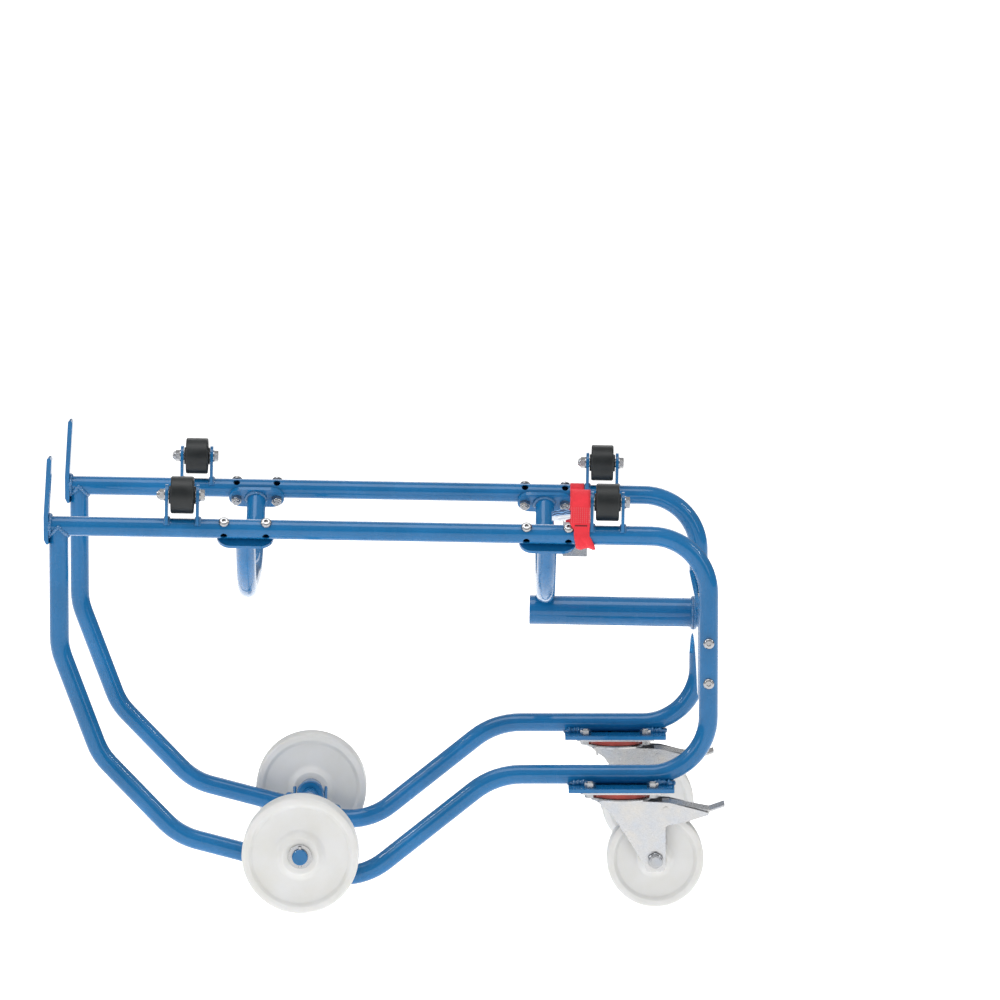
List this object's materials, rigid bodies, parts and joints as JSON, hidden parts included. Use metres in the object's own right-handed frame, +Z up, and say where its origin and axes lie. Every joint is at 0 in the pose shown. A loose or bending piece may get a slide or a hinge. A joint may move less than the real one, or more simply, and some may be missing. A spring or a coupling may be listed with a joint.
{
  "type": "drum dolly",
  "caption": "Wheeled cradle of bent round tube that holds a drum on its side on rollers, with toe claws, a lever socket, load wheels and braked swivel castors.",
  "frame": {"origin": "on the floor, under the middle of the whole dolly", "axes": "+X along the dolly from the toe claws to the castors, +Y across it to the side with the strap's buckle, +Z up"},
  "size_m": [0.8732, 0.6464, 0.5806],
  "materials": {
    "blue_paint": "gloss powder coat",
    "zinc_steel": "bright zinc plating",
    "bright_steel": "ground and polished",
    "polyamide": "natural white polyamide, satin",
    "black_plastic": "moulded, satin",
    "red_plastic": "moulded, satin",
    "red_webbing": "woven polyester webbing",
    "label_cloth": "printed satin ribbon"
  },
  "bodies": {
    "frame": {"near_side_frame": "blue_paint", "far_side_frame": "blue_paint", "near_toe_claw": "blue_paint", "far_toe_claw": "blue_paint", "near_front_roller_ears": "blue_paint", "far_front_roller_ears": "blue_paint", "near_rear_roller_ears": "blue_paint", "far_rear_roller_ears": "blue_paint", "roller_bolts": "zinc_steel", "roller_nuts": "zinc_steel", "roller_washers": "zinc_steel", "roller_sleeves": "zinc_steel", "front_cross_tube": "blue_paint", "rear_cross_tube": "blue_paint", "cross_tube_flanges": "blue_paint", "cross_tube_screws": "zinc_steel", "cross_tube_nuts": "zinc_steel", "lever_socket": "blue_paint", "rear_cross_plate": "blue_paint", "rear_plate_screws": "zinc_steel", "rear_plate_nuts": "zinc_steel", "axle_bosses": "blue_paint", "axle_brackets": "blue_paint", "main_axle": "blue_paint", "axle_washers": "zinc_steel", "axle_spring_pins": "zinc_steel", "near_castor_mount_plate": "blue_paint", "far_castor_mount_plate": "blue_paint", "near_castor_top_plate": "zinc_steel", "far_castor_top_plate": "zinc_steel", "castor_seal_rings": "red_plastic", "castor_balls": "bright_steel", "castor_kingpins": "zinc_steel", "castor_mount_bolts": "zinc_steel", "castor_mount_nuts": "zinc_steel", "tension_strap": "red_webbing", "strap_label": "label_cloth", "buckle_strap": "red_webbing", "buckle_frame": "zinc_steel", "buckle_pin": "zinc_steel"},
    "near_main_wheel": {"near_main_wheel": "polyamide"},
    "near_front_drum_roller": {"near_front_drum_roller": "black_plastic"},
    "near_rear_drum_roller": {"near_rear_drum_roller": "black_plastic"},
    "near_castor_swivel": {"near_castor_fork": "zinc_steel", "near_castor_bolt": "zinc_steel", "near_castor_sleeve": "zinc_steel", "near_brake_pin": "zinc_steel"},
    "near_castor_wheel": {"near_castor_wheel": "polyamide"},
    "near_brake_pedal": {"near_brake_pedal": "zinc_steel"},
    "far_main_wheel": {"far_main_wheel": "polyamide"},
    "far_front_drum_roller": {"far_front_drum_roller": "black_plastic"},
    "far_rear_drum_roller": {"far_rear_drum_roller": "black_plastic"},
    "far_castor_swivel": {"far_castor_fork": "zinc_steel", "far_castor_bolt": "zinc_steel", "far_castor_sleeve": "zinc_steel", "far_brake_pin": "zinc_steel"},
    "far_castor_wheel": {"far_castor_wheel": "polyamide"},
    "far_brake_pedal": {"far_brake_pedal": "zinc_steel"},
    "buckle_lever": {"buckle_lever": "zinc_steel"}
  },
  "joints": [
    {"name": "near_main_wheel_spin", "type": "hinge", "parent": "frame", "child": "near_main_wheel", "pos_m": [-0.108, -0.2851, 0.075], "axis": [0, 1, 0], "continuous": true},
    {"name": "near_front_drum_roller_spin", "type": "hinge", "parent": "frame", "child": "near_front_drum_roller", "pos_m": [-0.25926, -0.2375, 0.53173], "axis": [0.9998, 0, -0.0175], "continuous": true},
    {"name": "near_rear_drum_roller_spin", "type": "hinge", "parent": "frame", "child": "near_rear_drum_roller", "pos_m": [0.28574, -0.2375, 0.52222], "axis": [0.9998, 0, -0.0175], "continuous": true},
    {"name": "near_castor_swivel", "type": "hinge", "parent": "frame", "child": "near_castor_swivel", "pos_m": [0.3035, -0.2375, 0.142], "axis": [0, 0, 1], "continuous": true},
    {"name": "near_castor_wheel_spin", "type": "hinge", "parent": "near_castor_swivel", "child": "near_castor_wheel", "pos_m": [0.3475, -0.2375, 0.0625], "axis": [0, 1, 0], "continuous": true},
    {"name": "near_brake_pedal_press", "type": "hinge", "parent": "near_castor_swivel", "child": "near_brake_pedal", "pos_m": [0.361, -0.2375, 0.1278], "axis": [0, 1, 0], "range_deg": [0, 8]},
    {"name": "far_main_wheel_spin", "type": "hinge", "parent": "frame", "child": "far_main_wheel", "pos_m": [-0.108, 0.2851, 0.075], "axis": [0, 1, 0], "continuous": true},
    {"name": "far_front_drum_roller_spin", "type": "hinge", "parent": "frame", "child": "far_front_drum_roller", "pos_m": [-0.25926, 0.2375, 0.53173], "axis": [0.9998, 0, -0.0175], "continuous": true},
    {"name": "far_rear_drum_roller_spin", "type": "hinge", "parent": "frame", "child": "far_rear_drum_roller", "pos_m": [0.28574, 0.2375, 0.52222], "axis": [0.9998, 0, -0.0175], "continuous": true},
    {"name": "far_castor_swivel", "type": "hinge", "parent": "frame", "child": "far_castor_swivel", "pos_m": [0.3035, 0.2375, 0.142], "axis": [0, 0, 1], "continuous": true},
    {"name": "far_castor_wheel_spin", "type": "hinge", "parent": "far_castor_swivel", "child": "far_castor_wheel", "pos_m": [0.3475, 0.2375, 0.0625], "axis": [0, 1, 0], "continuous": true},
    {"name": "far_brake_pedal_press", "type": "hinge", "parent": "far_castor_swivel", "child": "far_brake_pedal", "pos_m": [0.361, 0.2375, 0.1278], "axis": [0, 1, 0], "range_deg": [0, 8]},
    {"name": "buckle_lever_press", "type": "hinge", "parent": "frame", "child": "buckle_lever", "pos_m": [0.24919, 0.25985, 0.41694], "axis": [0.9998, 0, -0.0175], "range_deg": [0, 25], "stiffness_Nm_per_rad": 0.05, "springref_deg": -17.19}
  ]
}
